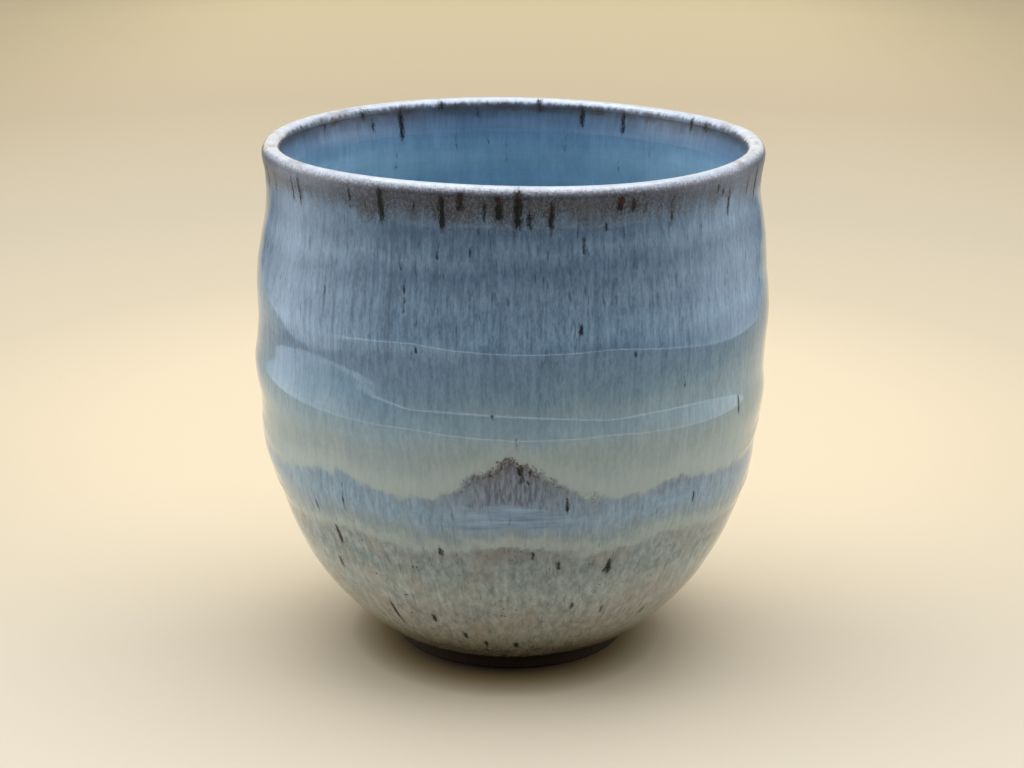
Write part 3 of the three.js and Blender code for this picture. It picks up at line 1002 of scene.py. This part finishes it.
def bare_stoneware():
    """Fired clay: dark brown with darker grog and an open grain. The brown is partly the clay's own colour
    and is kept very dark as painted shade round the foot ring.
    """
    graph = Graph(bpy.data.materials.new("bare_stoneware"))
    place = graph.add("ShaderNodeTexCoord").outputs["Object"]
    clouds = graph.noise(place, 220, 220, 4, 0.6)
    shade = graph.mix(clouds, CLAY_DARK, CLAY_LIGHT)
    grog = graph.step(graph.noise(place, 1500, 1500, 1), 0.78, 0.9)
    shade = graph.mix(graph.product(grog, 0.6), shade, CLAY_GROG)
    grain = graph.noise(place, 2600, 2600, 2)
    bump = graph.add("ShaderNodeBump", {"Height": grain, "Strength": 0.5, "Distance": 0.0001})
    shader = graph.add("ShaderNodeBsdfPrincipled", {
        "Base Color": shade,
        "Roughness": graph.step(clouds, -3, 1.4, "LINEAR"),
        "Specular IOR Level": 0.12,
        "Normal": bump.outputs["Normal"],
    })
    return graph.finish(shader)


# Stage, light and camera

# Ground, in metres: rings of cream about a place behind the cup, which paint a pool of light and its
# fall-off, painted shade in the far corners at the sides, and where its other colours set in
FLOOR_SIZE = 8.0
FLOOR_MIDDLE = (0, 0.12, 0)
PAINTED_LIGHT_RINGS = [
    (0, colour(232, 216, 184)), (0.09, colour(229, 213, 183)), (0.15, colour(213, 199, 173)),
    (0.25, colour(206, 194, 170)), (0.45, colour(213, 196, 165)), (0.75, colour(250, 230, 185)),
]
FLOOR_NEAR = colour(230, 220, 202)
FLOOR_NEAR_BLEND = (-0.12, 0.1)
# Painted shade: the ground is darker far back at the sides, where the light falls off
PAINTED_CORNER_SHADE = colour(168, 153, 122)
PAINTED_CORNER_SHADE_ASIDE = (0.12, 0.3)
PAINTED_CORNER_SHADE_BACK = (0.1, 0.6)
PAINTED_CORNER_SHADE_SHARE = 0.5
FLOOR_ROUGHNESS = 0.9
FAR_GROUND = colour(208, 196, 170)

# Painted contact shadow close round the foot, by the distance from the foot ring: a brown that fades into
# the rest of the ground
PAINTED_FOOT_SHADOW = [(0, colour(50, 34, 14)), (0.0045, colour(165, 152, 118)), (0.012, colour(255, 255, 255))]
PAINTED_SHADOW_MIDDLE = (-0.0008, 0, 0)
PAINTED_SHADOW_NARROWING = (1.15, 1, 1)

# The sheet of paper, backdrop and room that the glaze mirrors
PAPER_COLOUR = colour(244, 232, 200)
PAPER_FRONT = -0.25
PAPER_HALF_WIDTH = 0.22
PAPER_EDGE_WIDTH = 0.02
BACKDROP_SIDE = 0.9
BACKDROP_TOP = 0.7
DAYLIGHT = colour(232, 241, 252)
LOW_LIGHT = colour(252, 241, 220)

# Levels of light in front of the cup, on its left, on its right and behind it
ROOM = (0.5, 2.4, 1.8, 0.35)
PAPER_EDGE = (3.8, 2.2, 2.0, 0.6)
SKY_LOW = (0.04, 7.0, 5.3, 0.9)
SKY_TOP = 0.18
SKY_HORIZON = (-0.05, 0.1)
SKY_RISE = (0.12, 0.62)
FRONT_BLEND = (-0.85, 0.15)
BACK_BLEND = (0.3, 0.85)
SIDE_BLEND = (-0.3, 0.3)

LAMP_PLACE = (0, 0.08, 0.75)
LAMP_SIZE = 0.8
LAMP_POWER = 5.9
CAMERA_NEAREST = 0.01


def side_level(graph, parts, levels):
    """Strength of light in a direction, from its levels on the four sides of the cup."""
    front, left, right, back = levels
    sides = graph.between(graph.step(parts["X"], *SIDE_BLEND), left, right)
    sides = graph.between(graph.step(parts["Y"], *BACK_BLEND), sides, back)
    return graph.between(graph.step(parts["Y"], *FRONT_BLEND), front, sides)


def ground_colour_with_painted_light(graph, place):
    """Cream in rings that paint a pool of light, with painted shade far back at the sides and a painted
    contact shadow close round the foot.
    """
    parts = graph.parts(place)
    away = graph.vector_math("DISTANCE", place, FLOOR_MIDDLE, output="Value")
    rings = graph.ramp(away, PAINTED_LIGHT_RINGS)
    cream = graph.mix(graph.step(parts["Y"], *FLOOR_NEAR_BLEND), FLOOR_NEAR, rings)
    # Painted shade far back at the sides of the ground
    aside = graph.step(graph.math("ABSOLUTE", parts["X"]), *PAINTED_CORNER_SHADE_ASIDE)
    corner = graph.product(aside, graph.step(parts["Y"], *PAINTED_CORNER_SHADE_BACK), PAINTED_CORNER_SHADE_SHARE)
    cream = graph.mix(corner, cream, PAINTED_CORNER_SHADE)
    # Painted contact shadow: browner and darker nearer the foot ring, and narrower at the sides than in
    # front and behind
    from_middle = graph.vector_math("SUBTRACT", place, PAINTED_SHADOW_MIDDLE)
    from_middle = graph.vector_math("MULTIPLY", from_middle, PAINTED_SHADOW_NARROWING)
    from_middle = graph.vector_math("LENGTH", from_middle, output="Value")
    from_foot = graph.math("SUBTRACT", from_middle, FOOT_RADIUS * MM)
    return graph.vector_math("MULTIPLY", cream, graph.ramp(from_foot, PAINTED_FOOT_SHADOW))


def mirrored_room(graph, place):
    """The glowing bright edge of the paper and the glowing room beyond it, seen only in the glaze's
    reflections, and where on the ground they lie.
    """
    parts = graph.parts(place)
    outward = graph.parts(graph.vector_math("NORMALIZE", place))
    beside = graph.math("SUBTRACT", graph.math("ABSOLUTE", parts["X"]), PAPER_HALF_WIDTH)
    before = graph.math("SUBTRACT", PAPER_FRONT, parts["Y"])
    beyond = graph.math("MAXIMUM", beside, before)
    at_edge = graph.math("LESS_THAN", beyond, PAPER_EDGE_WIDTH)
    level = graph.between(at_edge, side_level(graph, outward, ROOM), side_level(graph, outward, PAPER_EDGE))
    room = graph.add("ShaderNodeEmission", {"Color": DAYLIGHT, "Strength": level})
    return room.outputs["Emission"], graph.math("GREATER_THAN", beyond, 0.0)


def floor():
    """A cream ground with painted light and shade. The glaze mirrors it as a sheet of paper in a room,
    which glows beyond the paper for glossy rays only.
    """
    half = FLOOR_SIZE / 2
    mesh = bpy.data.meshes.new("floor")
    corners = [(-half, -half, 0), (half, -half, 0), (half, half, 0), (-half, half, 0)]
    mesh.from_pydata(corners, [], [(0, 1, 2, 3)])
    ground = placed("floor", mesh)
    graph = Graph(bpy.data.materials.new("cream_ground"))
    place = graph.add("ShaderNodeTexCoord").outputs["Object"]
    cream = ground_colour_with_painted_light(graph, place)
    paper = graph.add("ShaderNodeBsdfPrincipled", {"Base Color": cream, "Roughness": FLOOR_ROUGHNESS})
    room, outside_paper = mirrored_room(graph, place)
    # Painted reflection: beyond the paper the ground glows as a room, for glossy rays only
    mirrored = graph.product(outside_paper, graph.add("ShaderNodeLightPath").outputs["Is Glossy Ray"])
    shader = graph.add("ShaderNodeMixShader", {"Fac": mirrored, 1: paper.outputs["BSDF"], 2: room})
    mesh.materials.append(graph.finish(shader))


def world():
    """Soft daylight, low at the sides. The glaze mirrors a room that the camera doesn't see."""
    graph = Graph(bpy.data.worlds.new("room"))
    parts = graph.parts(graph.add("ShaderNodeTexCoord").outputs["Generated"])
    raised = graph.step(parts["Z"], *SKY_RISE)
    low_sky = graph.product(graph.step(parts["Z"], *SKY_HORIZON), side_level(graph, parts, SKY_LOW))
    sky = graph.between(raised, low_sky, SKY_TOP)
    flat = graph.math("SQRT", graph.math("SUBTRACT", 1.0, graph.product(parts["Z"], parts["Z"])))
    backward = graph.math("DIVIDE", parts["Y"], flat)
    low = graph.math("LESS_THAN", parts["Z"], BACKDROP_TOP)
    backdrop = graph.product(graph.math("GREATER_THAN", backward, BACKDROP_SIDE), low)
    mirrored = graph.between(backdrop, side_level(graph, parts, ROOM), 1.0)
    rays = graph.add("ShaderNodeLightPath").outputs
    sky_colour = graph.mix(raised, LOW_LIGHT, DAYLIGHT)
    unseen = graph.mix(rays["Is Glossy Ray"], sky_colour, graph.mix(backdrop, DAYLIGHT, PAPER_COLOUR))
    level = graph.between(rays["Is Glossy Ray"], sky, mirrored)
    light = graph.add("ShaderNodeBackground", {
        "Color": graph.mix(rays["Is Camera Ray"], unseen, FAR_GROUND),
        "Strength": graph.between(rays["Is Camera Ray"], level, 1.0),
    })
    bpy.context.scene.world = graph.finish(light, "ShaderNodeOutputWorld")


def overhead_lamp():
    lamp = bpy.data.lights.new("overhead", "AREA")
    lamp.shape = "SQUARE"
    lamp.size = LAMP_SIZE
    lamp.energy = LAMP_POWER
    placed("overhead", lamp).location = LAMP_PLACE


def camera():
    view = bpy.data.cameras.new("camera")
    view.sensor_width = SENSOR_WIDTH
    view.lens = FOCAL_PIXELS * SENSOR_WIDTH / PICTURE_WIDTH_PIXELS
    view.clip_start = CAMERA_NEAREST
    holder = placed("camera", view)
    tip = Matrix.Rotation(math.radians(90 - CAMERA_DOWN_DEGREES), 4, "X")
    roll = Matrix.Rotation(math.radians(CAMERA_ROLL_DEGREES), 4, "Z")
    holder.matrix_world = Matrix.Translation((0, -CAMERA_BACK * MM, CAMERA_HEIGHT * MM)) @ tip @ roll
    bpy.context.scene.camera = holder


# The cup

def dress(piece, material, node):
    piece.data.materials.append(material)
    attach(piece, "root")
    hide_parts(node)


def cup():
    skin, rows = build_skin()
    dress(clay(skin), bare_stoneware(), "stoneware_body")
    dress(coat("inside_glaze", skin, 0, rows["crest"], True), liner_glaze(), "liner_glaze")
    upper = coat("upper_glaze", skin, rows["crest"], rows["upper"])
    dress(upper, run_glaze("upper_glaze"), "upper_glaze_dip")
    middle = coat("middle_glaze", skin, rows["upper"], rows["lower"])
    dress(middle, run_glaze("middle_glaze"), "middle_glaze_dip")
    lower = coat("lower_glaze", skin, rows["lower"], rows["hem"])
    dress(lower, run_glaze("lower_glaze"), "lower_glaze_dip")


cup()
floor()
world()
overhead_lamp()
camera()
bpy.context.scene.view_settings.view_transform = "Standard"
